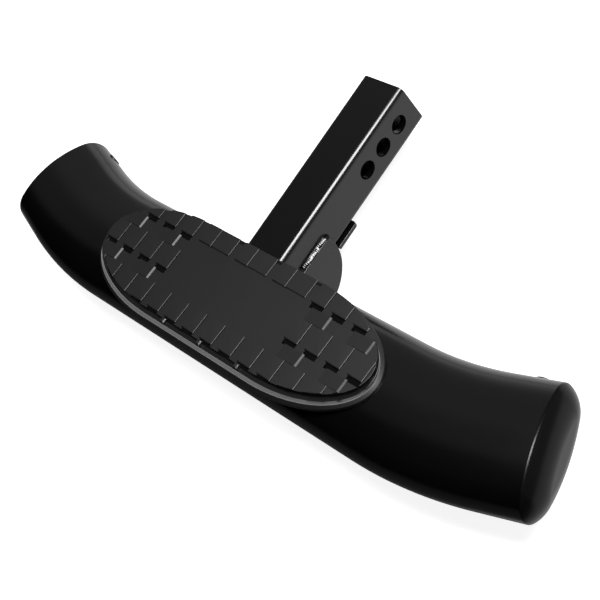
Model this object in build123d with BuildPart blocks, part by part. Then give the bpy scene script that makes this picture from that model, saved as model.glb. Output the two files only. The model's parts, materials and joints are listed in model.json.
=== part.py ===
import os
from math import asin, atan2, cos, degrees, radians, sin

from build123d import *

# Receiver shank: square tube along Y, middle pin hole at the origin, vehicle toward +Y
shank_size = 50.8
shank_wall = 6.35
shank_corner = 6.0
shank_inner_corner = 2.0
shank_tail = 50.9
pin_r = 8.5
pin_pitch = 26.3
pin_count = 3

# Oval step tube: four-arc section, level middle sunk below the shank's top,
# both ends bent toward the vehicle
tube_width = 117.5
tube_height = 65.7
tube_side_r = 26.4
tube_wall = 2.0
tube_back = 202.1
tube_sink = 32.3
tube_roll_deg = 4.5
straight_half = 185.9
bend_r = 355.2
bend_deg = 16.8
tail_len = 44.6

# End caps: domed plug with a short lip, sleeve inside the tube, one low-headed screw from the rear
cap_lip = 1.3
cap_edge_round = 3.2
dome_h = 13.0
dome_reach = 25.9
cap_wall = 4.2
sleeve_len = 39.0
sleeve_wall = 2.5
sleeve_gap = 0.2
screw_inset = 22.7
screw_r = 2.4
screw_len = 7.0
screw_head_r = 7.4
screw_head_h = 2.0
screw_head_bevel = 1.1
screw_head_slope = 2.8
screw_hex_r = 2.2
screw_hex_depth = 1.3
screw_gap = 0.2

# Gussets and lower plate
gusset_t = 4.8
gusset_reach = 54.2
gusset_drop = 12.8
gusset_r = 49.3
gusset_corner = 5.5
gusset_top = -3.0
gusset_arc_deg = 128.0
gusset_lead = 17.0
plate_t = 4.8
plate_len = 29.0
plate_corner = 3.7
weld_leg = 3.7
bead_r = 3.2
bead_inset = 1.2
bead_gap = 6.3
shank_weld_drop = 10.7
end_bead_inset = 6.0

# Tread pad, in the tilted frame of the tube, heights counted from the tube's crown
pad_straight = 74.0
pad_end_gap = 0.5
pad_side_gap = 3.4
pad_shift = -1.1
tread_end_inset = 6.5
tread_side_inset = 3.05
tread_shift = 1.85
skirt_drop = 10.2
groove_rise = 0.65
rim_rise = 3.05
rim_width = 4.15
rim_bevel = 1.3
tread_rise = 5.1
block_h = 1.6
plateau_h = 1.4
pocket_depth = 4.2
pad_notch_gap = 0.3
column_pitch = 26.2
column_start = 20.8
block_width = 17.1
pair_width = 43.5
pair_split = 17.6
rear_row = (34.2, 55.5)
middle_row = (-5.6, 16.6)
front_row = (-44.9, -23.1)
pocket_width = 15.3
pocket_len = 3.9
pocket_edge = 1.5
plateau_width = 25.0
plateau_inset = 13.4
upper_gap = (17.2, 30.3)
lower_gap = (-22.6, -9.5)
tread_field_half = 78.6

# Push-in clips under the pad
clip_r = 3.5
clip_gap = 0.2
clip_socket = 2.3
clip_barb_r = 4.6
clip_tip_r = 2.2
clip_barb_h = 5.5
clip_count = 6
clip_end_inset = 32.8

bend = radians(bend_deg)
bend_x = straight_half + bend_r * sin(bend)
bend_y = bend_r * (1 - cos(bend))
tip_x = bend_x + tail_len * cos(bend)
tip_y = bend_y + tail_len * sin(bend)
tube_half_w = tube_width / 2
tube_half_h = tube_height / 2
shank_half = shank_size / 2
tube_drop = tube_sink - shank_half

gusset_y = gusset_reach - tube_back
gusset_rear = gusset_y + gusset_r
bead_start = tube_half_w + bead_gap - tube_back
plate_end = gusset_rear + plate_len

sleeve_inset = tube_wall + sleeve_gap + sleeve_wall
dome_r = (dome_reach**2 + dome_h**2) / (2 * dome_h)
dome_start = degrees(asin((dome_r - dome_h) / dome_r))

pad_half_len = straight_half - pad_end_gap
pad_half_wid = tube_half_w - pad_side_gap
tread_half_len = pad_half_len - tread_end_inset
tread_half_wid = pad_half_wid - tread_side_inset
skirt_low = tube_half_h - skirt_drop
groove_floor = tube_half_h + groove_rise
rim_top = tube_half_h + rim_rise
tread_base = tube_half_h + tread_rise
columns = int(tread_half_len / column_pitch) + 1
clip_pitch = 2 * (pad_half_len - clip_end_inset) / (clip_count - 1)

roll = radians(tube_roll_deg)
step = Plane(origin=(0, -tube_back, -tube_drop), x_dir=(1, 0, 0), z_dir=(0, sin(roll), cos(roll)))
screw_x = tip_x - screw_inset * cos(bend) - tube_half_w * sin(bend)
screw_y = tip_y - screw_inset * sin(bend) + tube_half_w * cos(bend)


def on_step(x, y, x_dir, z_dir):
    # A sketch plane given in the tilted frame of the tube
    return Plane(step.location * Plane(origin=(x, y, 0), x_dir=x_dir, z_dir=z_dir).location)


section = on_step(0, 0, (0, 1, 0), (1, 0, 0))
start = on_step(-tip_x, tip_y, (sin(bend), cos(bend), 0), (cos(bend), -sin(bend), 0))
tip_left = on_step(-tip_x, tip_y, (-sin(bend), -cos(bend), 0), (-cos(bend), sin(bend), 0))
tip_right = on_step(tip_x, tip_y, (-sin(bend), cos(bend), 0), (cos(bend), sin(bend), 0))
screw_left = on_step(-screw_x, screw_y, (0, 0, 1), (sin(bend), cos(bend), 0))
screw_right = on_step(screw_x, screw_y, (0, 0, 1), (-sin(bend), cos(bend), 0))


def oval(grow):
    # The tube's outline moved out by grow, as four tangent arcs
    half_w = tube_half_w + grow
    half_h = tube_half_h + grow
    side_r = tube_side_r + grow
    crown_r = ((half_w - side_r) ** 2 + half_h**2 - side_r**2) / (2 * (half_h - side_r))
    turn = degrees(atan2(crown_r - half_h, half_w - side_r))
    with BuildSketch() as outline:
        with BuildLine():
            CenterArc((half_w - side_r, 0), side_r, -turn, 2 * turn)
            CenterArc((0, half_h - crown_r), crown_r, turn, 180 - 2 * turn)
            CenterArc((side_r - half_w, 0), side_r, 180 - turn, 2 * turn)
            CenterArc((0, crown_r - half_h), crown_r, 180 + turn, 180 - 2 * turn)
        make_face()
    return outline.sketch


def dome_section():
    # Wall of the cap: axial distance along X, offset from the tube's outline along Y (inward is minus)
    centre = (cap_lip - dome_r + dome_h, -dome_reach)
    ceiling = cap_lip + dome_h - cap_wall
    with BuildSketch() as wall:
        with BuildLine():
            outer = CenterArc(centre, dome_r, 90 - dome_start, dome_start - 90)
            Polyline(outer @ 1, (ceiling, -dome_reach), (0, -sleeve_inset), (0, 0), outer @ 0)
        make_face()
        fillet(wall.vertices().sort_by_distance(outer @ 0)[0], radius=cap_edge_round)
    return wall.sketch


def long_oval(half_len, half_wid):
    # Straight front and rear, half-ellipse ends
    with BuildSketch() as outline:
        Rectangle(2 * pad_straight, 2 * half_wid)
        with Locations((-pad_straight, 0), (pad_straight, 0)):
            Ellipse(half_len - pad_straight, half_wid)
    return outline.sketch


def gusset_edge(front_y):
    # Corners of the side plate's top and rear edge in (Y, Z), from front_y back
    return (front_y, gusset_top), (gusset_rear, gusset_top), (gusset_rear, -gusset_drop)


def gusset_outline():
    # Side plate in (Y, Z), still without the tube's cut-out
    with BuildSketch() as outline:
        with BuildLine():
            edge = FilletPolyline(*gusset_edge(bead_start - gusset_lead), radius=gusset_corner)
            sweep_edge = CenterArc((gusset_y, -gusset_drop), gusset_r, 0, -gusset_arc_deg)
            Line(sweep_edge @ 1, edge @ 0)
        make_face()
    return outline.sketch


def block_places():
    # Middle and Y limits of each single block: three rows at the ends, one row along the plain middle
    places = []
    for column in range(-columns, columns):
        x = column_start + column * column_pitch - block_width / 2
        rows = (rear_row, middle_row, front_row) if abs(x) > tread_field_half else (front_row,)
        places += [(x, low, high) for low, high in rows]
    return places


def tread_blocks():
    # Single blocks, and the high left part of the three wide blocks along the rear
    with BuildSketch() as blocks:
        for x, low, high in block_places():
            with Locations((x, (low + high) / 2)):
                Rectangle(block_width, high - low)
        low, high = rear_row
        for pair in (-1, 0, 1):
            with Locations((2 * pair * column_pitch - (pair_width - pair_split) / 2, (low + high) / 2)):
                Rectangle(pair_split, high - low)
    return blocks.sketch


def tread_plateaus():
    # Lower flats between the rows in every second column, and the low right part of the wide blocks
    with BuildSketch() as plateaus:
        for column in range(1 - columns, columns, 2):
            x = column_start + column * column_pitch - plateau_inset - plateau_width / 2
            if abs(x) > tread_field_half:
                for low, high in (upper_gap, lower_gap):
                    with Locations((x, (low + high) / 2)):
                        Rectangle(plateau_width, high - low)
        low, high = rear_row
        for pair in (-1, 0, 1):
            with Locations((2 * pair * column_pitch + pair_split / 2, (low + high) / 2)):
                Rectangle(pair_width - pair_split, high - low)
    return plateaus.sketch


def tread_pockets():
    # A narrow slot against the front of each single block
    with BuildSketch() as pockets:
        for x, low, high in block_places():
            with Locations((x, low - pocket_len / 2)):
                Rectangle(pocket_width, pocket_len)
    return pockets.sketch


with BuildPart() as step_tube:
    with BuildLine(step) as spine:
        Line((-tip_x, tip_y), (-bend_x, bend_y))
        CenterArc((-straight_half, bend_r), bend_r, 270 - bend_deg, bend_deg)
        Line((-straight_half, 0), (straight_half, 0))
        CenterArc((straight_half, bend_r), bend_r, 270, bend_deg)
        Line((bend_x, bend_y), (tip_x, tip_y))
    with BuildSketch(start):
        add(oval(0))
        add(oval(-tube_wall), mode=Mode.SUBTRACT)
    sweep(path=spine.wires()[0])
    with BuildSketch(step):
        with GridLocations(clip_pitch, 1, clip_count, 1):
            Circle(clip_r + clip_gap)
    extrude(amount=tube_height, mode=Mode.SUBTRACT)
    for place in (screw_left, screw_right):
        with BuildSketch(place):
            Circle(screw_r + screw_gap)
        extrude(amount=tube_half_h, both=True, mode=Mode.SUBTRACT)

with BuildPart() as end_cap_right:
    cap_edge = (tip_right * oval(0)).wire()
    with BuildSketch(Plane(origin=cap_edge @ 0, x_dir=tip_right.z_dir, z_dir=cap_edge % 0)):
        add(dome_section())
    sweep(path=cap_edge)
    with BuildSketch(tip_right.offset(cap_lip + dome_h)):
        add(oval(-dome_reach))
    extrude(amount=-cap_wall)
    with BuildSketch(tip_right):
        add(oval(sleeve_wall - sleeve_inset))
        add(oval(-sleeve_inset), mode=Mode.SUBTRACT)
    extrude(amount=-sleeve_len)
    with BuildSketch(screw_right):
        Circle(screw_r)
    extrude(amount=-tube_half_h, mode=Mode.SUBTRACT)

with BuildPart() as end_cap_left:
    mirror(end_cap_right.part, about=Plane.YZ)

with BuildPart() as cap_screws:
    for place in (screw_left, screw_right):
        with BuildSketch(place):
            Circle(screw_head_r)
        head = extrude(amount=screw_head_h)
        top = head.faces().sort_by(Axis(place.origin, place.z_dir))[-1]
        chamfer(top.edges(), length=screw_head_slope, length2=screw_head_bevel, reference=top)
        with BuildSketch(place):
            Circle(screw_head_r)
        extrude(amount=-tube_wall)
        with BuildSketch(place.offset(screw_head_h)):
            RegularPolygon(screw_hex_r, 6)
        extrude(amount=-screw_hex_depth, mode=Mode.SUBTRACT)
    for end in (tip_left, tip_right):
        with BuildSketch(end):
            add(oval(0))
        extrude(amount=-tail_len, mode=Mode.SUBTRACT)
    for place in (screw_left, screw_right):
        with BuildSketch(place):
            Circle(screw_r)
        extrude(amount=-screw_len)

with BuildPart() as receiver_shank:
    with BuildSketch(Plane.XZ.offset(-shank_tail)):
        RectangleRounded(shank_size, shank_size, shank_corner)
        RectangleRounded(
            shank_size - 2 * shank_wall, shank_size - 2 * shank_wall, shank_inner_corner, mode=Mode.SUBTRACT
        )
    extrude(amount=shank_tail + tube_back - shank_half)
    with BuildSketch(Plane.YZ):
        with GridLocations(pin_pitch, 1, pin_count, 1):
            Circle(pin_r)
    extrude(amount=shank_size, both=True, mode=Mode.SUBTRACT)
    with BuildSketch(section):
        add(oval(0))
    extrude(amount=shank_size, both=True, mode=Mode.SUBTRACT)

with BuildPart() as gusset_right:
    with BuildSketch(Plane.YZ.offset(shank_half)):
        add(gusset_outline())
    extrude(amount=gusset_t)
    with BuildSketch(section):
        add(oval(0))
    extrude(amount=shank_size, mode=Mode.SUBTRACT)

with BuildPart() as gusset_left:
    mirror(gusset_right.part, about=Plane.YZ)

with BuildPart() as lower_plate:
    with BuildSketch(Plane.XY.offset(-shank_half)):
        with Locations((0, gusset_rear + plate_len / 2)):
            wide = Rectangle(shank_size + 2 * gusset_t, plate_len)
        fillet(wide.vertices().group_by(Axis.Y)[-1], radius=plate_corner)
        with Locations((0, gusset_rear)):
            Rectangle(shank_size, tube_half_w, align=(Align.CENTER, Align.MAX))
    extrude(amount=-plate_t)
    with BuildSketch(section):
        add(oval(0))
    extrude(amount=shank_size, both=True, mode=Mode.SUBTRACT)

with BuildPart() as gusset_weld_right:
    with BuildLine(Plane.YZ.offset(shank_half + bead_inset)) as bead_path:
        FilletPolyline(*gusset_edge(bead_start), radius=gusset_corner)
    bead_wire = bead_path.wires()[0]
    with BuildSketch(Plane(origin=bead_wire @ 0, z_dir=bead_wire % 0)):
        Circle(bead_r)
    sweep(path=bead_wire)
    add(receiver_shank.part, mode=Mode.SUBTRACT)
    add(gusset_right.part, mode=Mode.SUBTRACT)

with BuildPart() as gusset_weld_left:
    mirror(gusset_weld_right.part, about=Plane.YZ)

with BuildPart() as cradle_weld_right:
    with BuildSketch(Plane.YZ.offset(shank_half + gusset_t)):
        add(gusset_outline())
    extrude(amount=weld_leg)
    with BuildSketch(section):
        add(oval(weld_leg))
    extrude(amount=shank_size, mode=Mode.INTERSECT)
    with BuildSketch(section):
        add(oval(0))
    extrude(amount=shank_size, mode=Mode.SUBTRACT)

with BuildPart() as cradle_weld_left:
    mirror(cradle_weld_right.part, about=Plane.YZ)

with BuildPart() as shank_weld:
    with BuildSketch(Plane.XZ.offset(tube_back - tube_half_w - 2 * weld_leg)):
        ring = shank_size + 2 * weld_leg
        RectangleRounded(ring, ring, shank_corner + weld_leg)
        with Locations((0, shank_half - shank_weld_drop)):
            Rectangle(2 * ring, ring, align=(Align.CENTER, Align.MIN), mode=Mode.SUBTRACT)
    extrude(amount=tube_half_w)
    with BuildSketch(section):
        add(oval(weld_leg))
    extrude(amount=shank_size, both=True, mode=Mode.INTERSECT)
    with BuildSketch(section):
        add(oval(0))
    extrude(amount=shank_size, both=True, mode=Mode.SUBTRACT)
    with BuildSketch(Plane.XZ):
        RectangleRounded(shank_size, shank_size, shank_corner)
    extrude(amount=tube_back, mode=Mode.SUBTRACT)
    add(gusset_right.part, mode=Mode.SUBTRACT)
    add(gusset_left.part, mode=Mode.SUBTRACT)
    add(gusset_weld_right.part, mode=Mode.SUBTRACT)
    add(gusset_weld_left.part, mode=Mode.SUBTRACT)
    add(lower_plate.part, mode=Mode.SUBTRACT)

with BuildPart() as plate_weld:
    with BuildSketch(Plane.YZ):
        with BuildLine():
            Polyline(
                (plate_end, -shank_half),
                (plate_end + weld_leg, -shank_half),
                (plate_end, -shank_half - weld_leg),
                close=True,
            )
        make_face()
    extrude(amount=shank_half - end_bead_inset, both=True)

with BuildPart() as step_pad:
    with BuildSketch(step.offset(skirt_low)):
        with Locations((0, pad_shift)):
            add(long_oval(pad_half_len, pad_half_wid))
    extrude(amount=groove_floor - skirt_low)
    with BuildSketch(step.offset(groove_floor)):
        with Locations((0, pad_shift)):
            add(long_oval(pad_half_len, pad_half_wid))
            add(long_oval(pad_half_len - rim_width, pad_half_wid - rim_width), mode=Mode.SUBTRACT)
    extrude(amount=rim_top - groove_floor)
    rim = step_pad.faces().sort_by(Axis(step.origin, step.z_dir))[-1]
    chamfer(rim.edges(), length=rim_bevel)
    with BuildSketch(step.offset(groove_floor)):
        with Locations((0, tread_shift)):
            add(long_oval(tread_half_len, tread_half_wid))
    extrude(amount=tread_base - groove_floor)
    for height, field in ((block_h, tread_blocks()), (plateau_h, tread_plateaus())):
        with BuildSketch(step.offset(tread_base)):
            add(field)
            with Locations((0, tread_shift)):
                add(long_oval(tread_half_len, tread_half_wid), mode=Mode.INTERSECT)
        extrude(amount=height)
    with BuildSketch(step.offset(tread_base)):
        add(tread_pockets())
        with Locations((0, tread_shift)):
            inside = long_oval(tread_half_len - pocket_edge, tread_half_wid - pocket_edge)
            add(inside, mode=Mode.INTERSECT)
    extrude(amount=-pocket_depth, mode=Mode.SUBTRACT)
    with BuildSketch(section):
        add(oval(0))
    extrude(amount=pad_half_len, both=True, mode=Mode.SUBTRACT)
    with BuildSketch(Plane.XZ):
        with Locations((0, shank_half + pad_notch_gap)):
            Rectangle(
                shank_size + 2 * weld_leg + 2 * pad_notch_gap, shank_size, align=(Align.CENTER, Align.MAX)
            )
    extrude(amount=tube_back - shank_half, mode=Mode.SUBTRACT)
    with BuildSketch(step):
        with GridLocations(clip_pitch, 1, clip_count, 1):
            Circle(clip_r)
    extrude(amount=tube_half_h + clip_socket, mode=Mode.SUBTRACT)

with BuildPart(step.offset(tube_half_h - tube_wall - clip_gap)) as pad_clips:
    with GridLocations(clip_pitch, 1, clip_count, 1):
        Cylinder(clip_r, tube_wall + clip_gap + clip_socket, align=(Align.CENTER, Align.CENTER, Align.MIN))
        Cone(clip_tip_r, clip_barb_r, clip_barb_h, align=(Align.CENTER, Align.CENTER, Align.MAX))

pieces = {
    "step_tube": step_tube,
    "end_cap_left": end_cap_left,
    "end_cap_right": end_cap_right,
    "cap_screws": cap_screws,
    "receiver_shank": receiver_shank,
    "gusset_left": gusset_left,
    "gusset_right": gusset_right,
    "lower_plate": lower_plate,
    "gusset_weld_left": gusset_weld_left,
    "gusset_weld_right": gusset_weld_right,
    "cradle_weld_left": cradle_weld_left,
    "cradle_weld_right": cradle_weld_right,
    "shank_weld": shank_weld,
    "plate_weld": plate_weld,
    "step_pad": step_pad,
    "pad_clips": pad_clips,
}

os.makedirs("parts", exist_ok=True)
for name, piece in pieces.items():
    piece.part.label = name
    export_step(piece.part, f"parts/{name}.step")
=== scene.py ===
import json
import math

import bmesh
import bpy
from mathutils import Matrix, Vector


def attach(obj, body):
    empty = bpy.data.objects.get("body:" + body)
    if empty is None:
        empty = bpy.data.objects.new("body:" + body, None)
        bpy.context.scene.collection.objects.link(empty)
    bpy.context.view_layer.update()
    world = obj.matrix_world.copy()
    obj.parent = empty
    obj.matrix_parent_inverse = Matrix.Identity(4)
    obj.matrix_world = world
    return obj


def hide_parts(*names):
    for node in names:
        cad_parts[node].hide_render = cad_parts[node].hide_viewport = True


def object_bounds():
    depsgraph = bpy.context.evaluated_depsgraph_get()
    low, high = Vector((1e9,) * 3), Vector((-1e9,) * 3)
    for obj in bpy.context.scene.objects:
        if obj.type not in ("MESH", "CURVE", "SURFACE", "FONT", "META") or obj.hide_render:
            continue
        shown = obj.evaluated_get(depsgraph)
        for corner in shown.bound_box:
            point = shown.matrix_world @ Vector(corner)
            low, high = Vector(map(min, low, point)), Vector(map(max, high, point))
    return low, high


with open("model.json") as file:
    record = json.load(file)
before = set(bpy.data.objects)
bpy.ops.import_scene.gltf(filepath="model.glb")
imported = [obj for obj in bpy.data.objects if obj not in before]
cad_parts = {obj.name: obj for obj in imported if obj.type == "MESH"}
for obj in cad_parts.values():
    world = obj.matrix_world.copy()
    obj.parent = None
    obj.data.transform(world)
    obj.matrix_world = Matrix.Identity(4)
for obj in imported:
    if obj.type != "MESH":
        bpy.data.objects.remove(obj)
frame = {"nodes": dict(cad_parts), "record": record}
nodes = frame["nodes"]
cadLow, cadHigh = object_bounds()
slotOf = {part["node"]: part["material_slot"] for part in frame["record"]["subparts"]}
mm = 0.001
near = 0.01 * mm  # places closer than this count as one
outlineGap = 0.02 * mm  # merges the ends of an outline's arcs
doubleGap = 0.005 * mm  # merges doubled points of a finished shape
squareOn = 0.9  # a face or edge with this share of an axis points that way
print("frame loaded:", len(nodes), "nodes")


# finishes

def addNode(tree, kind, place, **values):
    node = tree.nodes.new(kind)
    node.location = place
    for name, value in values.items():
        setattr(node, name, value)
    return node


def newMaterial(name):
    material = bpy.data.materials.new(name)
    material.use_nodes = True
    return material, material.node_tree, material.node_tree.nodes["Principled BSDF"]


coatLook = {
    "cloud": (14.0, 4.0), "peel": (900.0, 1.0), "speck": (4200.0, 2.0),  # scale and detail of each noise
    "speckShare": 0.35, "peelDepth": 0.05,
}


def makeCoatGroup():
    # powder coat: soft orange peel, fine specks, slow cloudy change of gloss
    group = bpy.data.node_groups.new("powderCoat", "ShaderNodeTree")
    group.interface.new_socket("Gloss", in_out="INPUT", socket_type="NodeSocketFloat")
    group.interface.new_socket("Spread", in_out="INPUT", socket_type="NodeSocketFloat")
    group.interface.new_socket("Roughness", in_out="OUTPUT", socket_type="NodeSocketFloat")
    group.interface.new_socket("Height", in_out="OUTPUT", socket_type="NodeSocketFloat")
    inputs = addNode(group, "NodeGroupInput", (-900, 0))
    outputs = addNode(group, "NodeGroupOutput", (500, 0))
    place = addNode(group, "ShaderNodeTexCoord", (-900, -250))
    noise = {}
    for row, name in enumerate(("cloud", "peel", "speck")):
        texture = addNode(group, "ShaderNodeTexNoise", (-650, 150 - 275 * row))
        texture.inputs["Scale"].default_value, texture.inputs["Detail"].default_value = coatLook[name]
        group.links.new(place.outputs["Object"], texture.inputs["Vector"])
        noise[name] = texture.outputs["Fac"]
    centred = addNode(group, "ShaderNodeMath", (-400, 150), operation="SUBTRACT")
    centred.inputs[1].default_value = 0.5  # the middle of the noise
    group.links.new(noise["cloud"], centred.inputs[0])
    drift = addNode(group, "ShaderNodeMath", (-200, 150), operation="MULTIPLY_ADD")
    group.links.new(centred.outputs[0], drift.inputs[0])
    group.links.new(inputs.outputs["Spread"], drift.inputs[1])
    group.links.new(inputs.outputs["Gloss"], drift.inputs[2])
    group.links.new(drift.outputs[0], outputs.inputs["Roughness"])
    mixed = addNode(group, "ShaderNodeMath", (-200, -250), operation="MULTIPLY_ADD")
    mixed.inputs[1].default_value = coatLook["speckShare"]
    group.links.new(noise["speck"], mixed.inputs[0])
    group.links.new(noise["peel"], mixed.inputs[2])
    group.links.new(mixed.outputs[0], outputs.inputs["Height"])
    return group


coatGroup = makeCoatGroup()


def makeCoat(name, colour, gloss, spread, peel, shine=0.5):
    material, tree, shader = newMaterial(name)
    shader.inputs["Base Color"].default_value = (*colour, 1)
    shader.inputs["Specular IOR Level"].default_value = shine
    coat = addNode(tree, "ShaderNodeGroup", (-500, 0), node_tree=coatGroup)
    coat.inputs["Gloss"].default_value = gloss
    coat.inputs["Spread"].default_value = spread
    bump = addNode(tree, "ShaderNodeBump", (-250, -200))
    bump.inputs["Strength"].default_value = peel
    bump.inputs["Distance"].default_value = coatLook["peelDepth"] * mm
    tree.links.new(coat.outputs["Roughness"], shader.inputs["Roughness"])
    tree.links.new(coat.outputs["Height"], bump.inputs["Height"])
    tree.links.new(bump.outputs["Normal"], shader.inputs["Normal"])
    return material


# gloss is the roughness, spread how far it drifts, peel the strength of the bump, shine the specular level
coats = {
    "glossCoat": {"colour": (0.0010, 0.0010, 0.0011), "gloss": 0.2, "spread": 0.06, "peel": 0.12},
    "satinCoat": {"colour": (0.0011, 0.0011, 0.0012), "gloss": 0.22, "spread": 0.06, "peel": 0.15},
    "weldCoat": {"colour": (0.0012, 0.0012, 0.0013), "gloss": 0.15, "spread": 0.06, "peel": 0.2},
    "capPlastic": {
        "colour": (0.0012, 0.0012, 0.0013), "gloss": 0.24, "spread": 0.05, "peel": 0.2, "shine": 0.17,
    },
    "padPlastic": {"colour": (0.0040, 0.0040, 0.0041), "gloss": 0.48, "spread": 0.08, "peel": 0.5},
    "screwBlack": {"colour": (0.0012, 0.0012, 0.0013), "gloss": 0.4, "spread": 0.05, "peel": 0.3},
}
materials = {name: makeCoat(name, **look) for name, look in coats.items()}
finishes = {
    "gloss_coat": materials["glossCoat"],
    "satin_coat": materials["satinCoat"],
    "weld_bead": materials["weldCoat"],
    "cap_plastic": materials["capPlastic"],
    "screw_black": materials["screwBlack"],
    "tread_pad": materials["padPlastic"],
    "clip_plastic": materials["padPlastic"],
}
for name, node in nodes.items():
    if name in slotOf:
        node.data.materials.clear()
        node.data.materials.append(finishes[slotOf[name]])
print("finishes assigned")


# modelling helpers

def clearSelection():
    if bpy.context.mode != "OBJECT":
        bpy.ops.object.mode_set(mode="OBJECT")
    bpy.ops.object.select_all(action="DESELECT")


def onlySelect(piece):
    clearSelection()
    piece.select_set(True)
    bpy.context.view_layer.objects.active = piece


def openEdit(piece, select="DESELECT"):
    onlySelect(piece)
    bpy.ops.object.mode_set(mode="EDIT")
    bpy.ops.mesh.select_mode(type="VERT")
    bpy.ops.mesh.select_all(action=select)


def closeEdit():
    bpy.ops.object.mode_set(mode="OBJECT")


def pick(piece, kind, test):
    bpy.ops.mesh.select_mode(type=kind)
    bpy.ops.mesh.select_all(action="DESELECT")
    shape = bmesh.from_edit_mesh(piece.data)
    parts = {"VERT": shape.verts, "EDGE": shape.edges, "FACE": shape.faces}[kind]
    for part in parts:
        if test(part):
            part.select_set(True)
    bmesh.update_edit_mesh(piece.data)


def useModifier(piece, kind, **values):
    onlySelect(piece)
    modifier = piece.modifiers.new(kind.lower(), kind)
    for name, value in values.items():
        setattr(modifier, name, value)
    bpy.ops.object.modifier_apply(modifier=modifier.name)


def remove(piece):
    bpy.data.objects.remove(piece, do_unlink=True)


def cut(piece, tool, operation="DIFFERENCE"):
    useModifier(piece, "BOOLEAN", object=tool, operation=operation, solver="EXACT")


def copyPiece(piece, name):
    copy = piece.copy()
    copy.data = piece.data.copy()
    copy.name = name
    bpy.context.scene.collection.objects.link(copy)
    return copy


def joinPieces(pieces, name):
    clearSelection()
    for piece in pieces:
        piece.select_set(True)
    bpy.context.view_layer.objects.active = pieces[0]
    bpy.ops.object.join()
    pieces[0].name = name
    return pieces[0]


def bakePlace(piece):
    onlySelect(piece)
    bpy.ops.object.transform_apply(location=True, rotation=True, scale=True)


def faceOut(piece):
    openEdit(piece, "SELECT")
    bpy.ops.mesh.remove_doubles(threshold=doubleGap)
    bpy.ops.mesh.normals_make_consistent(inside=False)
    closeEdit()


def soften(piece, width, segments, angle=40):
    useModifier(
        piece, "BEVEL", width=width * mm, segments=segments, limit_method="ANGLE",
        angle_limit=math.radians(angle), use_clamp_overlap=True, harden_normals=False,
    )


def dress(piece, node, angle=38):
    onlySelect(piece)
    bpy.ops.object.shade_smooth_by_angle(angle=math.radians(angle))
    useModifier(piece, "WEIGHTED_NORMAL", mode="FACE_AREA", weight=50, keep_sharp=True)
    piece.data.materials.clear()
    piece.data.materials.append(finishes[slotOf[node]])
    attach(piece, "root")
    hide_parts(node)


def mirrorHalf(piece):
    # the other half of a shape that is open at X = 0
    useModifier(piece, "MIRROR", use_axis=(True, False, False), use_mirror_merge=True, merge_threshold=near)
    faceOut(piece)


def mirrorPiece(piece, name):
    copy = copyPiece(piece, name)
    copy.scale = (-1, 1, 1)
    bakePlace(copy)
    faceOut(copy)
    return copy


# oval bar, in the tilted frame of the bar, then settled on the CAD frame

bar = {
    "width": 117.5, "height": 65.7, "sideRadius": 26.4, "wall": 2.0,
    "back": 202.1, "drop": 6.9, "rollDeg": 4.5,
    "straightHalf": 185.9, "bendRadius": 355.2, "bendDeg": 16.8, "tail": 44.6,
    "sideSteps": 28, "crownSteps": 28, "bendSteps": 24,
}
halfWide = bar["width"] / 2
halfHigh = bar["height"] / 2
bend = math.radians(bar["bendDeg"])
tipX = bar["straightHalf"] + bar["bendRadius"] * math.sin(bend) + bar["tail"] * math.cos(bend)
tipY = bar["bendRadius"] * (1 - math.cos(bend)) + bar["tail"] * math.sin(bend)


def settle(piece):
    piece.rotation_euler = (-math.radians(bar["rollDeg"]), 0, 0)
    piece.location = (0, -bar["back"] * mm, -bar["drop"] * mm)
    bakePlace(piece)


def startPoint(name, place):
    clearSelection()
    bpy.ops.mesh.primitive_plane_add(size=mm, location=(0, 0, 0))
    piece = bpy.context.object
    piece.name = name
    openEdit(piece, "SELECT")
    bpy.ops.mesh.merge(type="CENTER")
    bpy.ops.transform.translate(value=[value * mm for value in place])
    return piece


def turnOn(steps, angle, centre, axis):
    # spin counts its angle the other way round
    bpy.ops.mesh.spin(steps=steps, angle=-angle, center=[value * mm for value in centre], axis=axis)


def pushOn(x, y, z):
    bpy.ops.mesh.extrude_region_move(TRANSFORM_OT_translate={"value": (x * mm, y * mm, z * mm)})


def makeOval(name):
    # one point turned through the four arcs of the bar's outline, left open in edit mode
    side = bar["sideRadius"]
    crown = ((halfWide - side) ** 2 + halfHigh**2 - side**2) / (2 * (halfHigh - side))
    turn = math.atan2(crown - halfHigh, halfWide - side)
    piece = startPoint(name, (0, halfWide - side + side * math.cos(turn), -side * math.sin(turn)))
    arcs = (
        (bar["sideSteps"], 2 * turn, (0, halfWide - side, 0)),
        (bar["crownSteps"], math.pi - 2 * turn, (0, 0, halfHigh - crown)),
        (bar["sideSteps"], 2 * turn, (0, side - halfWide, 0)),
        (bar["crownSteps"], math.pi - 2 * turn, (0, 0, crown - halfHigh)),
    )
    for steps, angle, centre in arcs:
        turnOn(steps, angle, centre, (1, 0, 0))
    bpy.ops.mesh.select_all(action="SELECT")
    bpy.ops.mesh.remove_doubles(threshold=outlineGap)
    return piece


def makeBar():
    piece = makeOval("ovalBar")
    pushOn(bar["straightHalf"], 0, 0)
    turnOn(bar["bendSteps"], bend, (bar["straightHalf"], bar["bendRadius"], 0), (0, 0, 1))
    pushOn(bar["tail"] * math.cos(bend), bar["tail"] * math.sin(bend), 0)
    closeEdit()
    mirrorHalf(piece)
    useModifier(piece, "SOLIDIFY", thickness=bar["wall"] * mm, offset=-1)
    settle(piece)
    dress(piece, "step_tube")


def makeBarCutter():
    # the bar's straight middle as one solid, to cope what is welded to it
    piece = makeOval("barCutter")
    bpy.ops.mesh.edge_face_add()
    bpy.ops.transform.translate(value=(-bar["straightHalf"] * mm, 0, 0))
    pushOn(2 * bar["straightHalf"], 0, 0)
    closeEdit()
    faceOut(piece)
    settle(piece)
    return piece


makeBar()
barCutter = makeBarCutter()
print("bar modelled")


# end caps: domed plugs with a rounded edge

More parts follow.
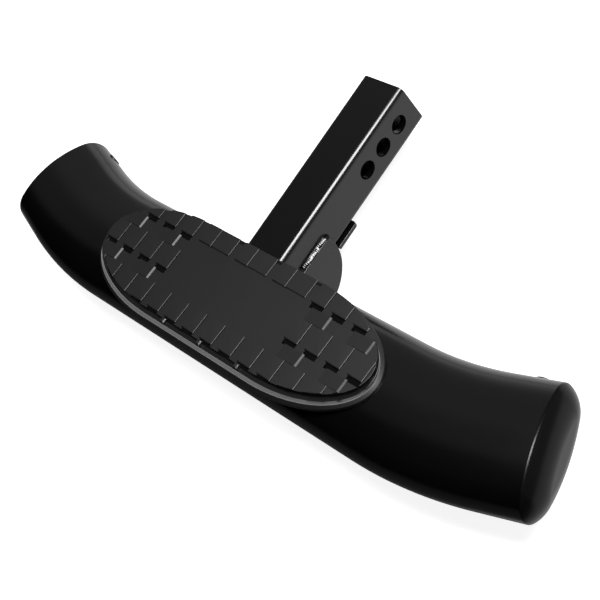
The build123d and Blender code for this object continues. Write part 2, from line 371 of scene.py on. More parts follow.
cap = {
    "lip": 1.3, "edgeRound": 3.2, "edgeSteps": 8, "domeHigh": 13.0, "domeReach": 25.9, "domeSteps": 14,
    "sleeveInset": 2.2, "sleeveLong": 39.0,
}


def capProfile():
    # (along the bar, in from its outline) from the end of the lip to the middle of the dome
    dome = (cap["domeReach"] ** 2 + cap["domeHigh"] ** 2) / (2 * cap["domeHigh"])
    along = cap["lip"] + cap["domeHigh"] - dome
    edge = cap["edgeRound"]
    edgeAlong = along + math.sqrt((dome - edge) ** 2 - (cap["domeReach"] - edge) ** 2)
    meet = math.asin((edgeAlong - along) / (dome - edge))
    points = [(edgeAlong, 0)]
    for step in range(1, cap["edgeSteps"] + 1):
        angle = meet * step / cap["edgeSteps"]
        points.append((edgeAlong + edge * math.sin(angle), edge - edge * math.cos(angle)))
    for step in range(1, cap["domeSteps"] + 1):
        angle = meet + (math.pi / 2 - meet) * step / cap["domeSteps"]
        points.append((along + dome * math.sin(angle), cap["domeReach"] - dome * math.cos(angle)))
    return points


def makeCap():
    piece = makeOval("endCapRight")
    bpy.ops.mesh.edge_face_add()
    profile = capProfile()
    pushOn(profile[0][0], 0, 0)
    closeEdit()
    faceOut(piece)
    openEdit(piece)
    pick(piece, "FACE", lambda face: face.normal.x > squareOn)
    for before, after in zip(profile, profile[1:]):
        bpy.ops.mesh.inset(thickness=(after[1] - before[1]) * mm, depth=(after[0] - before[0]) * mm)
    pick(piece, "FACE", lambda face: face.normal.x < -squareOn)
    bpy.ops.mesh.inset(thickness=cap["sleeveInset"] * mm)
    pushOn(-cap["sleeveLong"], 0, 0)
    closeEdit()
    piece.rotation_euler = (0, 0, bend)
    piece.location = (tipX * mm, tipY * mm, 0)
    bakePlace(piece)
    settle(piece)
    faceOut(piece)
    return piece


capRight = makeCap()
capLeft = mirrorPiece(capRight, "endCapLeft")
dress(capRight, "end_cap_right")
dress(capLeft, "end_cap_left")
print("caps modelled")


# low round screw heads on the rear of the bar

screw = {
    "inset": 22.7, "radius": 6.8, "sides": 64, "high": 0.75, "edge": 0.5, "edgeSteps": 5, "seat": 1.6,
    "socket": 2.2, "socketDeep": 0.9, "socketSides": 6,
}


def makeScrew():
    clearSelection()
    depth = screw["high"] + screw["seat"]
    middle = (screw["high"] - screw["seat"]) / 2
    bpy.ops.mesh.primitive_cylinder_add(
        vertices=screw["sides"], radius=screw["radius"] * mm, depth=depth * mm, location=(0, 0, middle * mm)
    )
    piece = bpy.context.object
    piece.name = "capScrews"
    bakePlace(piece)
    openEdit(piece)
    pick(piece, "EDGE", lambda edge: all(vert.co.z > 0 for vert in edge.verts))
    bpy.ops.mesh.bevel(offset=screw["edge"] * mm, segments=screw["edgeSteps"], affect="EDGES")
    closeEdit()
    clearSelection()
    bpy.ops.mesh.primitive_cylinder_add(
        vertices=screw["socketSides"], radius=screw["socket"] * mm, depth=2 * screw["socketDeep"] * mm,
        location=(0, 0, screw["high"] * mm),
    )
    socket = bpy.context.object
    cut(piece, socket)
    remove(socket)
    x = tipX - screw["inset"] * math.cos(bend) - halfWide * math.sin(bend)
    y = tipY - screw["inset"] * math.sin(bend) + halfWide * math.cos(bend)
    piece.rotation_euler = (-math.pi / 2, 0, bend)
    piece.location = (x * mm, y * mm, 0)
    bakePlace(piece)
    settle(piece)
    faceOut(piece)
    return piece


screwRight = makeScrew()
screwLeft = mirrorPiece(screwRight, "capScrewLeft")
dress(joinPieces([screwRight, screwLeft], "capScrews"), "cap_screws")
print("screws modelled")


# square shank with three cross holes

shank = {
    "size": 50.8, "wall": 6.35, "corner": 6.0, "innerCorner": 2.0, "cornerSteps": 14,
    "tail": 50.9, "reach": 176.7,
    "holeRadius": 8.5, "holePitch": 26.3, "holeSteps": 64, "holeEdge": 1.0, "holeEdgeSteps": 5,
    "endEdge": 0.6, "endSteps": 3, "hollowPast": 5.0, "drillPast": 3.0,
}
shankHalf = shank["size"] / 2


def addBox(name, low, high):
    clearSelection()
    middle = [(a + b) / 2 * mm for a, b in zip(low, high)]
    bpy.ops.mesh.primitive_cube_add(size=1, location=middle)
    piece = bpy.context.object
    piece.name = name
    piece.scale = [(b - a) * mm for a, b in zip(low, high)]
    bakePlace(piece)
    return piece


def alongY(edge):
    way = edge.verts[1].co - edge.verts[0].co
    return abs(way.y) > squareOn * way.length


def makeSquare(name, size, corner, low, high):
    half = size / 2
    piece = addBox(name, (-half, low, -half), (half, high, half))
    openEdit(piece)
    pick(piece, "EDGE", alongY)
    bpy.ops.mesh.bevel(offset=corner * mm, segments=shank["cornerSteps"], affect="EDGES")
    closeEdit()
    return piece


def makeDrill():
    # half of a round cutter with a flared end, spun about X and mirrored
    radius, edge = shank["holeRadius"], shank["holeEdge"]
    flare = shankHalf - edge
    piece = startPoint("drill", (0, 0, radius))
    pushOn(flare, 0, 0)
    turnOn(shank["holeEdgeSteps"], math.pi / 2, (flare, 0, radius + edge), (0, 1, 0))
    pushOn(shank["drillPast"], 0, 0)
    pushOn(0, 0, -radius - edge)
    bpy.ops.mesh.select_all(action="SELECT")
    turnOn(shank["holeSteps"], 2 * math.pi, (0, 0, 0), (1, 0, 0))
    closeEdit()
    faceOut(piece)
    mirrorHalf(piece)
    return piece


def makeShank():
    reach, tail, past = shank["reach"], shank["tail"], shank["hollowPast"]
    piece = makeSquare("receiverShank", shank["size"], shank["corner"], -reach, tail)
    inner = shank["size"] - 2 * shank["wall"]
    hollow = makeSquare("hollow", inner, shank["innerCorner"], -reach - past, tail + past)
    cut(piece, hollow)
    remove(hollow)
    openEdit(piece)
    pick(piece, "EDGE", lambda edge: all(vert.co.y > tail * mm - near for vert in edge.verts))
    bpy.ops.mesh.bevel(offset=shank["endEdge"] * mm, segments=shank["endSteps"], affect="EDGES")
    closeEdit()
    drill = makeDrill()
    for step in (-1, 0, 1):
        drill.location = (0, step * shank["holePitch"] * mm, 0)
        cut(piece, drill)
    remove(drill)
    cut(piece, barCutter)
    dress(piece, "receiver_shank")


makeShank()
print("shank modelled")


# side plates, lower plate

plate = {
    "thick": 4.8, "centreY": -147.9, "drop": 12.8, "radius": 49.3, "corner": 5.5, "top": -3.0,
    "arcDeg": 128.0, "front": -154.0, "edge": 0.7, "edgeSteps": 3, "cornerSteps": 8, "arcSteps": 48,
}
plateRear = plate["centreY"] + plate["radius"]


def makeSidePlate():
    corner = plate["corner"]
    piece = startPoint("sidePlateRight", (shankHalf, plate["front"], plate["top"]))
    pushOn(0, plateRear - corner - plate["front"], 0)
    cornerMiddle = (shankHalf, plateRear - corner, plate["top"] - corner)
    turnOn(plate["cornerSteps"], -math.pi / 2, cornerMiddle, (1, 0, 0))
    pushOn(0, 0, -plate["drop"] - plate["top"] + corner)
    arc = math.radians(plate["arcDeg"])
    turnOn(plate["arcSteps"], -arc, (shankHalf, plate["centreY"], -plate["drop"]), (1, 0, 0))
    endY = plate["centreY"] + plate["radius"] * math.cos(arc)
    endZ = -plate["drop"] - plate["radius"] * math.sin(arc)
    pushOn(0, plate["front"] - endY, plate["top"] - endZ)
    bpy.ops.mesh.select_all(action="SELECT")
    bpy.ops.mesh.remove_doubles(threshold=outlineGap)
    bpy.ops.mesh.edge_face_add()
    pushOn(plate["thick"], 0, 0)
    closeEdit()
    faceOut(piece)
    cut(piece, barCutter)
    soften(piece, plate["edge"], plate["edgeSteps"])
    return piece


sideRight = makeSidePlate()
sideLeft = mirrorPiece(sideRight, "sidePlateLeft")
dress(sideRight, "gusset_right")
dress(sideLeft, "gusset_left")

lower = {
    "thick": 4.2, "long": 29.0, "corner": 3.7, "cornerSteps": 8, "edge": 0.6, "edgeSteps": 3,
    "sideInset": 1.5, "overlap": 1.0,
}


def makeLowerPlate():
    # a plate behind the side plates, and its narrower tongue between them
    wide = shankHalf + plate["thick"] - lower["sideInset"]
    bottom = -shankHalf - lower["thick"]
    joint = plateRear + lower["overlap"]
    piece = addBox("lowerPlate", (-wide, plateRear, bottom), (wide, plateRear + lower["long"], -shankHalf))

    def rearCorner(edge):
        first, second = edge.verts
        upright = abs(first.co.x - second.co.x) < near
        return upright and min(first.co.y, second.co.y) > joint * mm

    openEdit(piece)
    pick(piece, "EDGE", rearCorner)
    bpy.ops.mesh.bevel(offset=lower["corner"] * mm, segments=lower["cornerSteps"], affect="EDGES")
    closeEdit()
    tongue = addBox("tongue", (-shankHalf, plateRear - halfWide, bottom), (shankHalf, joint, -shankHalf))
    cut(piece, tongue, "UNION")
    remove(tongue)
    cut(piece, barCutter)
    soften(piece, lower["edge"], lower["edgeSteps"])
    dress(piece, "lower_plate")


makeLowerPlate()
print("plates modelled")


# weld beads: a row of overlapping drops, melted together

bead = {
    "pitch": 1.7, "wide": 3.0, "thick": 1.15, "length": 2.5, "lean": 0.5, "stray": 0.3, "voxel": 0.25,
    "wideStray": 0.12, "thickStray": 0.16, "lengthStray": 0.15, "leanStray": 0.08,
    "sides": 24, "rings": 14, "smooth": 0.5, "smoothTimes": 3, "sharpDeg": 180,
    "waves": ((12.9898, 4.1), (5.317, 1.7)),  # step and seed factors of two sines that never fall in step
}


def wobble(step, seed):
    return sum(math.sin(step * perStep + seed * perSeed) * 0.5 for perStep, perSeed in bead["waves"])


def pathPoints(corners, pitch):
    # evenly spaced points along a polyline
    points = []
    carry = 0.0
    for start, end in zip(corners, corners[1:]):
        start, end = Vector(start), Vector(end)
        way = end - start
        travelled = carry
        while travelled <= way.length:
            points.append((start + way * (travelled / way.length), way.normalized()))
            travelled += pitch
        carry = travelled - way.length
    return points


def makeBead(name, corners, seed):
    # flat drops whose faces lean outward by the bead's lean, on a path that keeps to one X
    drops = []
    for step, (place, way) in enumerate(pathPoints(corners, bead["pitch"])):
        clearSelection()
        bpy.ops.mesh.primitive_uv_sphere_add(segments=bead["sides"], ring_count=bead["rings"], radius=mm)
        drop = bpy.context.object
        drop.scale = (
            bead["wide"] * (1 + bead["wideStray"] * wobble(step, seed)),
            bead["thick"] * (1 + bead["thickStray"] * wobble(step, seed + 2)),
            bead["length"] * (1 + bead["lengthStray"] * wobble(step, seed + 3)),
        )
        facing = Vector((bead["lean"], -way.z, way.y)).normalized()
        facing = (facing + Vector((wobble(step, seed + 4), 0, 0)) * bead["leanStray"]).normalized()
        drop.rotation_euler = Matrix((facing.cross(way), facing, way)).transposed().to_euler()
        drop.location = (place + facing * bead["stray"] * wobble(step, seed + 5)) * mm
        bakePlace(drop)
        drops.append(drop)
    piece = joinPieces(drops, name)
    useModifier(piece, "REMESH", mode="VOXEL", voxel_size=bead["voxel"] * mm, use_smooth_shade=True)
    useModifier(piece, "SMOOTH", factor=bead["smooth"], iterations=bead["smoothTimes"])
    return piece


sideBead = {"inset": 2.1, "lift": 0.5, "start": -135.05, "footGap": 1.0, "cornerSteps": 6, "seed": 1}


def makeSideBead():
    # along the top of the side plate, round its corner and down its rear edge
    x = shankHalf + sideBead["inset"]
    corner = plate["corner"]
    top = plate["top"] + sideBead["lift"]
    rear = plateRear + sideBead["lift"]
    path = [(x, sideBead["start"], top)]
    for step in range(sideBead["cornerSteps"] + 1):
        angle = math.pi / 2 * step / sideBead["cornerSteps"]
        path.append((x, rear - corner + corner * math.sin(angle), top - corner + corner * math.cos(angle)))
    path.append((x, rear, sideBead["footGap"] - plate["drop"]))
    return makeBead("sideBeadRight", path, sideBead["seed"])


beadRight = makeSideBead()
beadLeft = mirrorPiece(beadRight, "sideBeadLeft")
dress(beadRight, "gusset_weld_right", bead["sharpDeg"])
dress(beadLeft, "gusset_weld_left", bead["sharpDeg"])
print("side beads modelled")


# tread pad: skirt on the bar, round rim, raised tread with blocks, ramped flats and slots

pad = {
    "straight": 74.0, "halfLong": 185.4, "halfWide": 55.35, "shift": -1.1, "steps": 192,
    "skirtLow": -10.2, "skirtHigh": -2.2, "skirtInset": 0.6,
    "notchGap": 0.3, "notchSide": 4.0, "sharpDeg": 35,
}


def addLongOval(name, halfLong, halfAcross, shift, low, high, slide=0):
    # a circle stretched, parted in the middle, and raised from low to high above the bar's crown
    clearSelection()
    bpy.ops.mesh.primitive_circle_add(vertices=pad["steps"], radius=1, fill_type="NGON")
    piece = bpy.context.object
    piece.name = name
    openEdit(piece, "SELECT")
    bpy.ops.transform.resize(value=((halfLong - pad["straight"]) * mm, halfAcross * mm, 1))
    for side in (-1, 1):
        pick(piece, "VERT", lambda vert: side * vert.co.x > near)
        bpy.ops.transform.translate(value=(side * pad["straight"] * mm, 0, 0))
    bpy.ops.mesh.select_all(action="SELECT")
    bpy.ops.transform.translate(value=(slide * mm, shift * mm, (halfHigh + low) * mm))
    pushOn(0, 0, high - low)
    closeEdit()
    faceOut(piece)
    return piece


def copiesOf(master, name, places):
    # one unit box copied to each (middle x, width, low y, high y, low z, high z), heights from the crown
    copies = []
    for x, wide, lowY, highY, lowZ, highZ in places:
        copy = copyPiece(master, name)
        copy.scale = (wide * mm, (highY - lowY) * mm, (highZ - lowZ) * mm)
        copy.location = (x * mm, (lowY + highY) / 2 * mm, (halfHigh + (lowZ + highZ) / 2) * mm)
        bakePlace(copy)
        copies.append(copy)
    remove(master)
    return joinPieces(copies, name)


def addUnitBox(name):
    clearSelection()
    bpy.ops.mesh.primitive_cube_add(size=1)
    piece = bpy.context.object
    piece.name = name
    return piece


def addRampBox(name, rampShare, leftDrop):
    # unit box whose right end slopes down over a share of its length, and whose left end may be lower
    piece = addUnitBox(name)
    openEdit(piece)
    pick(piece, "VERT", lambda vert: vert.co.x > 0 and vert.co.z > 0)
    bpy.ops.transform.translate(value=(-rampShare, 0, 0))
    pick(piece, "VERT", lambda vert: vert.co.x < 0 and vert.co.z > 0)
    bpy.ops.transform.translate(value=(0, 0, -leftDrop))
    closeEdit()
    return piece


def addWedge(name, headShare):
    # unit box whose floor rises toward the rear, for slots that deepen away from their block
    piece = addUnitBox(name)
    openEdit(piece)
    pick(piece, "VERT", lambda vert: vert.co.y > 0 and vert.co.z < 0)
    bpy.ops.transform.translate(value=(0, 0, headShare))
    closeEdit()
    return piece


tread = {
    "halfLong": 182.5, "halfWide": 50.5, "slide": -1.9, "shift": 3.5, "low": 0.1, "high": 4.8,
    "edge": (0.35, 3, 60),  # width, steps and least angle, as in the other edges of the tread
    "pitch": 26.2, "start": 20.8, "fieldHalf": 78.6, "fenceBelow": 2.0, "fenceAbove": 8.0,
}
block = {
    "wide": 17.1, "high": 1.9, "sunk": 0.6, "edge": (0.2, 2, 48),
    "rear": (34.2, 55.5), "middle": (-5.6, 16.6), "front": (-44.9, -23.1),
    "pairWide": 43.5, "pairSplit": 17.6, "lowDrop": 0.6,
    "chamferRun": 0.6, "chamferDrop": 0.42, "frontChamfer": 0.9,
}
slot = {
    "wide": 15.3, "long": 5.2, "deep": 4.6, "head": 0.3, "tuck": 0.2, "above": 4.0,
    "dashWide": 6.0, "dash": (50.2, 52.6),
}
flat = {
    "wide": 25.0, "inset": 13.4, "high": 1.25, "sunk": 0.02, "ramp": 1.6, "leftDrop": 0.9,
    "rows": ((17.2, 30.3), (-22.6, -9.5)), "edge": (0.2, 2, 20),
}
tooth = {"wide": 5.0, "reach": (-51.2, -46.2), "gap": 0.1, "run": 1.3, "drop": 1.15, "edge": (0.2, 2, 30)}
treadColumns = int(tread["halfLong"] / tread["pitch"]) + 1


def chamferTops(piece, top, run, drop):
    # a shallow slope along the right top edge of every block, a steeper one along the front
    level = (halfHigh + top) * mm

    def topEdge(edge):
        return all(vert.co.z > level - near for vert in edge.verts)

    def rightTop(edge):
        return topEdge(edge) and any(face.normal.x > squareOn for face in edge.link_faces)

    def frontTop(edge):
        return topEdge(edge) and any(face.normal.y < -squareOn for face in edge.link_faces)

    openEdit(piece)
    pick(piece, "EDGE", rightTop)
    bpy.ops.mesh.bevel(offset=run * mm, segments=1, affect="EDGES")
    pick(piece, "VERT", lambda vert: abs(vert.co.z - level + run * mm) < 5 * near)
    bpy.ops.transform.translate(value=(0, 0, (run - drop) * mm))
    pick(piece, "EDGE", frontTop)
    bpy.ops.mesh.bevel(offset=block["frontChamfer"] * mm, segments=1, affect="EDGES")
    closeEdit()


def blockPlaces():
    # middle and Y limits of each block: three rows at the ends, one row along the plain middle
    places = []
    for column in range(-treadColumns, treadColumns):
        x = tread["start"] + column * tread["pitch"] - block["wide"] / 2
        rows = ("rear", "middle", "front") if abs(x) > tread["fieldHalf"] else ("front",)
        places += [(x, *block[row]) for row in rows]
    return places


def pairLefts():
    # left edges of the wide stepped blocks behind the plain middle
    return [2 * pair * tread["pitch"] - block["pairWide"] / 2 for pair in (-1, 0, 1)]


def flatRights():
    # right edges of the flats and the teeth, in every other column
    columns = range(1 - treadColumns, treadColumns, 2)
    return [tread["start"] + column * tread["pitch"] - flat["inset"] for column in columns]


def addTreadOval(name, low, high):
    return addLongOval(name, tread["halfLong"], tread["halfWide"], tread["shift"], low, high, tread["slide"])


def makeTreadBody():
    # a wedge-shaped slot in front of each block, and a short one beside each stepped block
    top, floor = tread["high"] + slot["above"], tread["high"] - slot["deep"]
    places = []
    for x, lowY, highY in blockPlaces():
        places.append((x, slot["wide"], lowY - slot["long"], lowY + slot["tuck"], floor, top))
    for left in pairLefts():
        x = left + block["pairWide"] + slot["dashWide"] / 2
        places.append((x, slot["dashWide"], *slot["dash"], floor, top))
    slots = copiesOf(addWedge("wedge", (slot["deep"] - slot["head"]) / (top - floor)), "slots", places)
    body = addTreadOval("treadBody", tread["low"], tread["high"])
    soften(body, *tread["edge"])
    cut(body, slots)
    remove(slots)
    return body


def makeBlocks(fence):
    bottom = tread["high"] - block["sunk"]
    top = tread["high"] + block["high"]
    lowTop = top - block["lowDrop"]
    split = block["pairSplit"]
    lowWide = block["pairWide"] - split
    highs = [(x, block["wide"], lowY, highY, bottom, top) for x, lowY, highY in blockPlaces()]
    lows = []
    for left in pairLefts():
        highs.append((left + split / 2, split, *block["rear"], bottom, top))
        lows.append((left + split + lowWide / 2, lowWide, *block["rear"], bottom, lowTop))
    parts = []
    for name, places, level in (("blocks", highs, top), ("lowBlocks", lows, lowTop)):
        part = copiesOf(addUnitBox("unitBox"), name, places)
        chamferTops(part, level, block["chamferRun"], block["chamferDrop"])
        cut(part, fence, "INTERSECT")
        soften(part, *block["edge"])
        parts.append(part)
    return parts


def makeFlats(fence):
    # ramped flats between the rows of blocks at both ends
    bottom, top = tread["high"] - flat["sunk"], tread["high"] + flat["high"]
    places = []
    for right in flatRights():
        x = right - flat["wide"] / 2
        if abs(x) > tread["fieldHalf"]:
            places += [(x, flat["wide"], *row, bottom, top) for row in flat["rows"]]
    rampBox = addRampBox("rampBox", flat["ramp"] / flat["wide"], flat["leftDrop"])
    flats = copiesOf(rampBox, "flats", places)
    cut(flats, fence, "INTERSECT")
    soften(flats, *flat["edge"])
    return flats


def makeTeeth():
    # short teeth on the front wall of the tread's straight middle
    wide = tooth["wide"]
    bottom, top = tread["low"] + tooth["gap"], tread["high"] - tooth["gap"]
    places = []
    for right in flatRights():
        if abs(right - flat["wide"] / 2) < pad["straight"]:
            places.append((right - wide / 2, wide, *tooth["reach"], bottom, top))
    teeth = copiesOf(addUnitBox("unitBox"), "teeth", places)
    chamferTops(teeth, top, tooth["run"], tooth["drop"])
    soften(teeth, *tooth["edge"])
    return teeth


def makeTread():
    fence = addTreadOval("fence", tread["low"] - tread["fenceBelow"], tread["high"] + tread["fenceAbove"])
    parts = [makeTreadBody(), *makeBlocks(fence), makeFlats(fence), makeTeeth()]
    remove(fence)
    return parts


polish = {
    # shade is the pale metal colour that paints the reflection band on the rim's inner slope
    "gloss": 0.24, "treadGloss": 0.48, "shade": 0.5,
    "start": (2.2, 2.6), "stop": (4.3, 4.65),  # heights over the crown where the polish sets in and ends
    "inner": (183.9, 52.75, -0.5, 0.9), "innerFade": (1.0, 1.02),  # half length, half width, slide, shift
    "outer": (185.0, 53.8, 2.5, -2.2), "outerFade": (0.985, 1.0),
}


def polishRimPaintReflection():
    # painted reflection: the rim's inner slope is made a pale metal, which paints a bright band of
    # reflection onto the pad's black plastic; the slots keep the mould's polish, the rest is matt
    tree = finishes["tread_pad"].node_tree
    shader = tree.nodes["Principled BSDF"]
    coat = next(node for node in tree.nodes if node.type == "GROUP")
    roll = math.radians(bar["rollDeg"])
    middle = Vector((0, -bar["back"], -bar["drop"]))
    upright = Vector((0, math.sin(roll), math.cos(roll)))
    across = Vector((0, math.cos(roll), -math.sin(roll)))
    crown = halfHigh + upright.dot(middle)
    place = addNode(tree, "ShaderNodeTexCoord", (-2100, 0))

    def measure(row, way):
        node = addNode(tree, "ShaderNodeVectorMath", (-1900, row), operation="DOT_PRODUCT")
        node.inputs[1].default_value = way
        tree.links.new(place.outputs["Object"], node.inputs[0])
        return node.outputs["Value"]

    def reckon(operation, spot, first, second):
        node = addNode(tree, "ShaderNodeMath", spot, operation=operation)
        for socket, value in zip(node.inputs, (first, second)):
            if isinstance(value, float):
                socket.default_value = value
            else:
                tree.links.new(value, socket)
        return node.outputs[0]

    def ramp(spot, value, limits, results):
        node = addNode(tree, "ShaderNodeMapRange", spot)
        node.inputs["From Min"].default_value, node.inputs["From Max"].default_value = limits
        node.inputs["To Min"].default_value, node.inputs["To Max"].default_value = results
        tree.links.new(value, node.inputs["Value"])
        return node.outputs["Result"]

    def overCrown(heights):
        return [(crown + height) * mm for height in heights]

    def ovalShare(row, halfLong, halfAcross, slide, shift):
        # share of the way from the middle of the pad to an oval, squared
        offset = (across.dot(middle) + shift) * mm
        fromMiddle = reckon("SUBTRACT", (-1700, row), measure(row + 100, (1, 0, 0)), slide * mm)
        distance = reckon("ABSOLUTE", (-1550, row), fromMiddle, 0.0)
        beyond = reckon("SUBTRACT", (-1400, row), distance, pad["straight"] * mm)
        ending = reckon("MAXIMUM", (-1250, row), beyond, 0.0)
        along = reckon("DIVIDE", (-1100, row), ending, (halfLong - pad["straight"]) * mm)
        sideways = reckon("SUBTRACT", (-1700, row - 200), measure(row - 200, across), offset)
        side = reckon("DIVIDE", (-1100, row - 200), sideways, halfAcross * mm)
        alongSquare = reckon("MULTIPLY", (-900, row), along, along)
        sideSquare = reckon("MULTIPLY", (-900, row - 200), side, side)
        return reckon("ADD", (-700, row), alongSquare, sideSquare)

    height = measure(600, upright)
    above = ramp((-500, 300), height, overCrown(polish["start"]), (0.0, 1.0))
    below = ramp((-500, 600), height, overCrown(polish["stop"]), (1.0, 0.0))
    outside = ramp((-500, -300), ovalShare(-300, *polish["inner"]), polish["innerFade"], (0.0, 1.0))
    inside = ramp((-500, -800), ovalShare(-800, *polish["outer"]), polish["outerFade"], (1.0, 0.0))
    polished = reckon("MULTIPLY", (-300, 500), below, inside)
    gloss = ramp((-150, 700), polished, (0.0, 1.0), (polish["treadGloss"], polish["gloss"]))
    tree.links.new(gloss, coat.inputs["Gloss"])
    band = reckon("MULTIPLY", (-300, 0), above, outside)
    # painted reflection: the band on the rim's inner slope turns to pale metal
    paintedReflection = reckon("MULTIPLY", (-150, 0), band, polished)
    tree.links.new(paintedReflection, shader.inputs["Metallic"])
    shade = addNode(tree, "ShaderNodeMix", (-150, 250), data_type="RGBA")
    tree.links.new(paintedReflection, shade.inputs["Factor"])
    shade.inputs["A"].default_value = shader.inputs["Base Color"].default_value
    shade.inputs["B"].default_value = (polish["shade"], polish["shade"], polish["shade"], 1)
    tree.links.new(shade.outputs["Result"], shader.inputs["Base Color"])


rim = {
    "grow": (2.5, 1.3), "slide": 2.5, "shift": -2.2, "low": -2.6, "wall": 1.9,
    "lowEdge": 0.7, "lowEdgeSteps": 3,
    # each step inward with its rise: outer slope, crest, inner slope, drop to the groove
    "steps": (
        (0.4, 0.4), (2.1, 1.75), (0.35, 0.12), (0.25, 0.0), (0.25, -0.08), (3.4, -1.15),
        (0.25, -0.5), (0.3, -2.1),
    ),
}


def makeRim():
    # each step is an inset of the top face with its change of height
    growLong, growWide = rim["grow"]
    piece = addLongOval(
        "rim", pad["halfLong"] + growLong, pad["halfWide"] + growWide, rim["shift"],
        rim["low"], rim["wall"], rim["slide"],
    )
    openEdit(piece)
    pick(piece, "FACE", lambda face: face.normal.z > squareOn)
    for inward, rise in rim["steps"]:
        bpy.ops.mesh.inset(thickness=inward * mm, depth=rise * mm)
    bottom = (halfHigh + rim["low"]) * mm + near
    pick(piece, "EDGE", lambda edge: all(vert.co.z < bottom for vert in edge.verts))
    bpy.ops.mesh.bevel(offset=rim["lowEdge"] * mm, segments=rim["lowEdgeSteps"], affect="EDGES")
    closeEdit()
    return piece


def makePad():
    inset = pad["skirtInset"]
    skirt = addLongOval(
        "skirt", pad["halfLong"] - inset, pad["halfWide"] - inset, pad["shift"],
        pad["skirtLow"], pad["skirtHigh"],
    )
    parts = [skirt, makeRim(), *makeTread()]
    wide = shankHalf + pad["notchSide"]
    notch = addBox("notch", (-wide, -shank["reach"], 0), (wide, 0, shankHalf + pad["notchGap"]))
    for part in parts:
        settle(part)
    cut(skirt, barCutter)
    for part in parts[:3]:  # only the skirt, the rim and the tread's body reach the shank
        cut(part, notch)
    remove(notch)
    dress(joinPieces(parts, "treadPad"), "step_pad", pad["sharpDeg"])


polishRimPaintReflection()
makePad()
remove(barCutter)
print("pad modelled")


# studio

studio = {
    "floorGap": 0.0005,
    "floorHalf": 6.0,
    "floorRough": 0.9,
    "floorGleam": 0.1,
    "floorShade": 0.46,
    "floorLift": 0.88,
    # painted shade: the floor's colour in front of the bar and behind it, as all but camera rays see it
    "bounceShade": (0.04, 0.54),
    "bounceEdge": (-0.3, -0.21),
    "keyAzimuth": 30.0,
    "keyElevation": 66.0,
    "keyDistance": 2.0,
    "keySize": (0.6, 1.4),
    "keyPower": 79.0,
    "dome": 0.112,
    "domeEdge": (-0.16, -0.09),
    "rearDome": 0.12,
    "rearEdge": (0.1, 0.35),
    "sideDome": 0.08,
    "sideEdge": (0.0, 0.4),
    "glow": 0.64,
    "glowAzimuth": 131.0,
    "glowElevation": 3.0,
    "glowEdge": (0.945, 0.985),
}


def makeFloor():
    clearSelection()
    height = cadLow.z - studio["floorGap"]
    bpy.ops.mesh.primitive_plane_add(size=2 * studio["floorHalf"], location=(0, 0, height))
    floor = bpy.context.object
    floor.name = "floor"
    material, tree, shader = newMaterial("floorWhite")
    shader.inputs["Roughness"].default_value = studio["floorRough"]
    shader.inputs["Specular IOR Level"].default_value = studio["floorGleam"]
    path = addNode(tree, "ShaderNodeLightPath", (-600, -300))
    # painted shade: for all rays but the camera's the floor's colour darkens in front of the bar, so the bar
    # reflects it dark and gets less light back from it there
    place = addNode(tree, "ShaderNodeTexCoord", (-1100, 200))
    axes = addNode(tree, "ShaderNodeSeparateXYZ", (-900, 200))
    bounce = addNode(tree, "ShaderNodeMapRange", (-700, 200), interpolation_type="SMOOTHSTEP")
    bounce.inputs["From Min"].default_value, bounce.inputs["From Max"].default_value = studio["bounceEdge"]
    bounce.inputs["To Min"].default_value, bounce.inputs["To Max"].default_value = studio["bounceShade"]
    shade = addNode(tree, "ShaderNodeMix", (-400, 100), data_type="FLOAT")
    shade.inputs[3].default_value = studio["floorShade"]
    tree.links.new(place.outputs["Object"], axes.inputs[0])
    tree.links.new(axes.outputs["Y"], bounce.inputs["Value"])
    tree.links.new(bounce.outputs["Result"], shade.inputs[2])
    tree.links.new(path.outputs["Is Camera Ray"], shade.inputs[0])
    tree.links.new(shade.outputs[0], shader.inputs["Base Color"])
    lift = addNode(tree, "ShaderNodeMath", (-150, -300), operation="MULTIPLY")
    lift.inputs[1].default_value = studio["floorLift"]
    tree.links.new(path.outputs["Is Camera Ray"], lift.inputs[0])
    shader.inputs["Emission Color"].default_value = (1, 1, 1, 1)
    tree.links.new(lift.outputs[0], shader.inputs["Emission Strength"])
    floor.data.materials.append(material)


def pointing(azimuth, elevation):
    a, e = math.radians(azimuth), math.radians(elevation)
    return Vector((math.cos(a) * math.cos(e), math.sin(a) * math.cos(e), math.sin(e)))


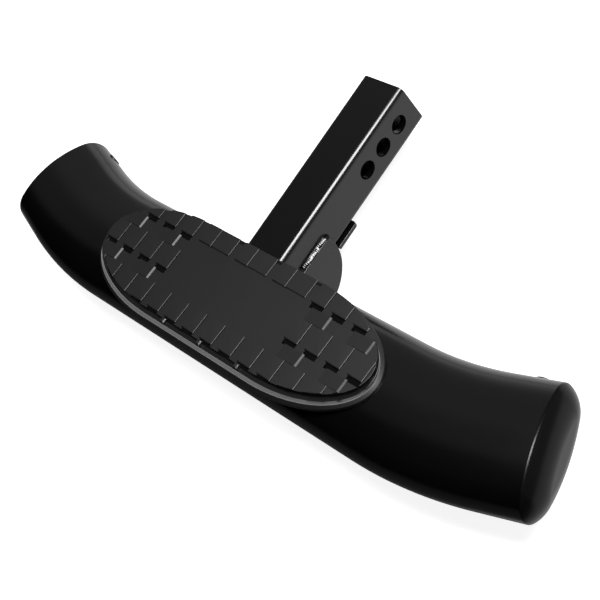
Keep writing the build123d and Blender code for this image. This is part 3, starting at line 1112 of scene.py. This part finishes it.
def makeWorld():
    # dark toward the front, pale above the rear, brightest low behind the bar
    world = bpy.data.worlds.new("studioDome")
    bpy.context.scene.world = world
    world.use_nodes = True
    tree = world.node_tree
    tree.nodes.clear()
    output = addNode(tree, "ShaderNodeOutputWorld", (900, 0))
    background = addNode(tree, "ShaderNodeBackground", (700, 0))
    background.inputs["Color"].default_value = (1, 1, 1, 1)
    path = addNode(tree, "ShaderNodeLightPath", (200, 300))
    place = addNode(tree, "ShaderNodeTexCoord", (-900, 0))
    total = None
    patches = (
        (pointing(90, 0), studio["domeEdge"], studio["dome"]),
        (pointing(90, 0), studio["rearEdge"], studio["rearDome"]),
        (pointing(0, 0), studio["sideEdge"], studio["sideDome"]),
        (pointing(studio["glowAzimuth"], studio["glowElevation"]), studio["glowEdge"], studio["glow"]),
    )
    for row, (way, (low, high), strength) in enumerate(patches):
        turn = addNode(tree, "ShaderNodeVectorMath", (-650, -200 * row), operation="DOT_PRODUCT")
        turn.inputs[1].default_value = way
        tree.links.new(place.outputs["Generated"], turn.inputs[0])
        fade = addNode(tree, "ShaderNodeMapRange", (-400, -200 * row), interpolation_type="SMOOTHSTEP")
        fade.inputs["From Min"].default_value = low
        fade.inputs["From Max"].default_value = high
        fade.inputs["To Max"].default_value = strength
        tree.links.new(turn.outputs["Value"], fade.inputs["Value"])
        if total is None:
            total = fade.outputs["Result"]
        else:
            both = addNode(tree, "ShaderNodeMath", (-100, -200 * row), operation="ADD")
            tree.links.new(total, both.inputs[0])
            tree.links.new(fade.outputs["Result"], both.inputs[1])
            total = both.outputs[0]
    white = addNode(tree, "ShaderNodeMix", (450, 0), data_type="FLOAT")
    tree.links.new(path.outputs["Is Camera Ray"], white.inputs[0])
    tree.links.new(total, white.inputs[2])
    white.inputs[3].default_value = 1.0
    tree.links.new(white.outputs[0], background.inputs["Strength"])
    tree.links.new(background.outputs[0], output.inputs["Surface"])


def aim(azimuth, elevation, distance, centre):
    way = pointing(azimuth, elevation)
    return centre + way * distance, way.to_track_quat("Z", "Y").to_euler()


def makeKey():
    centre = (cadLow + cadHigh) / 2
    place, turn = aim(studio["keyAzimuth"], studio["keyElevation"], studio["keyDistance"], centre)
    lamp = bpy.data.lights.new("key", "AREA")
    lamp.shape = "RECTANGLE"
    lamp.size, lamp.size_y = studio["keySize"]
    lamp.energy = studio["keyPower"]
    holder = bpy.data.objects.new("key", lamp)
    holder.location = place
    holder.rotation_euler = turn
    bpy.context.scene.collection.objects.link(holder)


cameraSpec = {
    "place": (0.796629, -0.303301, 0.894986),
    "turn": (29.9299, 28.5593, 39.7759),
    "lens": 77.823,
    "sensor": 36,
}


def makeCamera():
    data = bpy.data.cameras.new("photoCamera")
    data.lens = cameraSpec["lens"]
    data.sensor_width = cameraSpec["sensor"]
    camera = bpy.data.objects.new("photoCamera", data)
    camera.location = cameraSpec["place"]
    camera.rotation_euler = [math.radians(angle) for angle in cameraSpec["turn"]]
    bpy.context.scene.collection.objects.link(camera)
    bpy.context.scene.camera = camera


makeFloor()
makeWorld()
makeKey()
makeCamera()
bpy.context.scene.view_settings.view_transform = "Standard"
print("studio ready")
